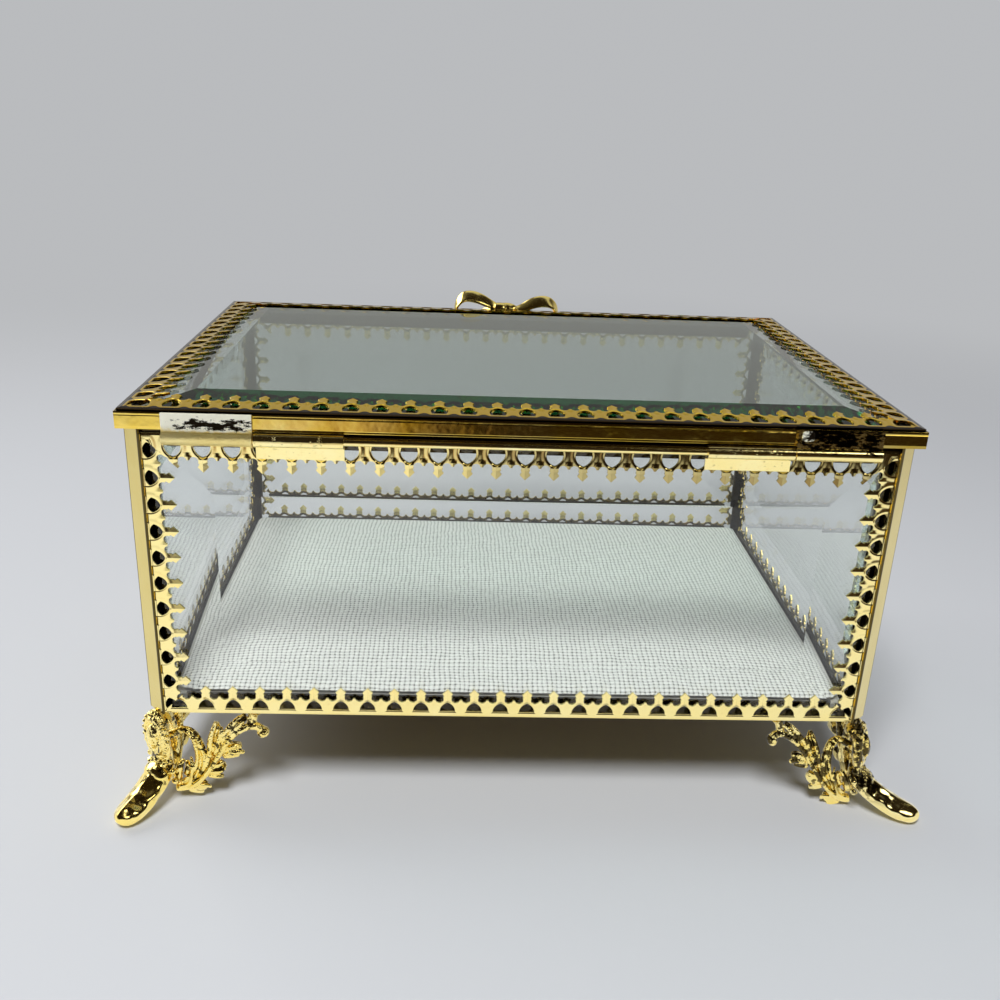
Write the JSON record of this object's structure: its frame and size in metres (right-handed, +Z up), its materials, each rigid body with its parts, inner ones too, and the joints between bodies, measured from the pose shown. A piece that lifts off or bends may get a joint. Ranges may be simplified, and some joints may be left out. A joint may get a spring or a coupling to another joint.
{
  "type": "glass casket box",
  "caption": "Bevelled glass casket in a gilt brass frame, with pierced gallery strips, cast scroll feet, a cushioned floor and a hinged glass lid with a bow lift.",
  "frame": {"origin": "on the surface that the feet stand on, under the middle of the case", "axes": "+Z up, +Y towards the hinges at the rear, +X to the right seen from the front"},
  "size_m": [0.147, 0.107, 0.0807],
  "materials": {
    "frame_brass": "polished gilt, slightly worn",
    "gallery_brass": "stamped and polished gilt",
    "cast_brass": "cast and polished gilt",
    "bow_brass": "polished gilt",
    "hinge_brass": "polished, with rough solder",
    "wall_glass": "clear plate with a wide bevel",
    "lid_glass": "clear plate with a wide bevel",
    "linen": "plain woven linen",
    "card": "grey-brown millboard"
  },
  "bodies": {
    "case": {"base_plate": "frame_brass", "cushion_card": "card", "cushion": "linen", "bottom_rail_front": "frame_brass", "bottom_rail_right": "frame_brass", "bottom_rail_rear": "frame_brass", "bottom_rail_left": "frame_brass", "top_rail_front": "frame_brass", "top_rail_right": "frame_brass", "top_rail_rear": "frame_brass", "top_rail_left": "frame_brass", "stiles_front": "frame_brass", "stiles_right": "frame_brass", "stiles_rear": "frame_brass", "stiles_left": "frame_brass", "corner_strip_front_left": "frame_brass", "corner_strip_front_right": "frame_brass", "corner_strip_rear_right": "frame_brass", "corner_strip_rear_left": "frame_brass", "glass_front": "wall_glass", "glass_right": "wall_glass", "glass_rear": "wall_glass", "glass_left": "wall_glass", "gallery_bottom_front": "gallery_brass", "gallery_bottom_right": "gallery_brass", "gallery_bottom_rear": "gallery_brass", "gallery_bottom_left": "gallery_brass", "gallery_top_front": "gallery_brass", "gallery_top_right": "gallery_brass", "gallery_top_rear": "gallery_brass", "gallery_top_left": "gallery_brass", "gallery_sides_front": "gallery_brass", "gallery_sides_right": "gallery_brass", "gallery_sides_rear": "gallery_brass", "gallery_sides_left": "gallery_brass", "foot_front_left": "cast_brass", "foot_front_right": "cast_brass", "foot_rear_right": "cast_brass", "foot_rear_left": "cast_brass", "hinge_case_leaf_left": "hinge_brass", "hinge_case_leaf_right": "hinge_brass", "hinge_pin": "hinge_brass"},
    "lid": {"lid_glass": "lid_glass", "lid_rail_front": "frame_brass", "lid_rail_right": "frame_brass", "lid_rail_rear": "frame_brass", "lid_rail_left": "frame_brass", "lid_gallery_front": "gallery_brass", "lid_gallery_right": "gallery_brass", "lid_gallery_rear": "gallery_brass", "lid_gallery_left": "gallery_brass", "hinge_lid_leaf_left": "hinge_brass", "hinge_lid_leaf_right": "hinge_brass", "thumb_bow": "bow_brass"}
  },
  "joints": [
    {"name": "lid_hinge", "type": "hinge", "parent": "case", "child": "lid", "pos_m": [0, 0.04625, 0.07125], "axis": [-1, 0, 0], "range_deg": [0, 105]}
  ]
}
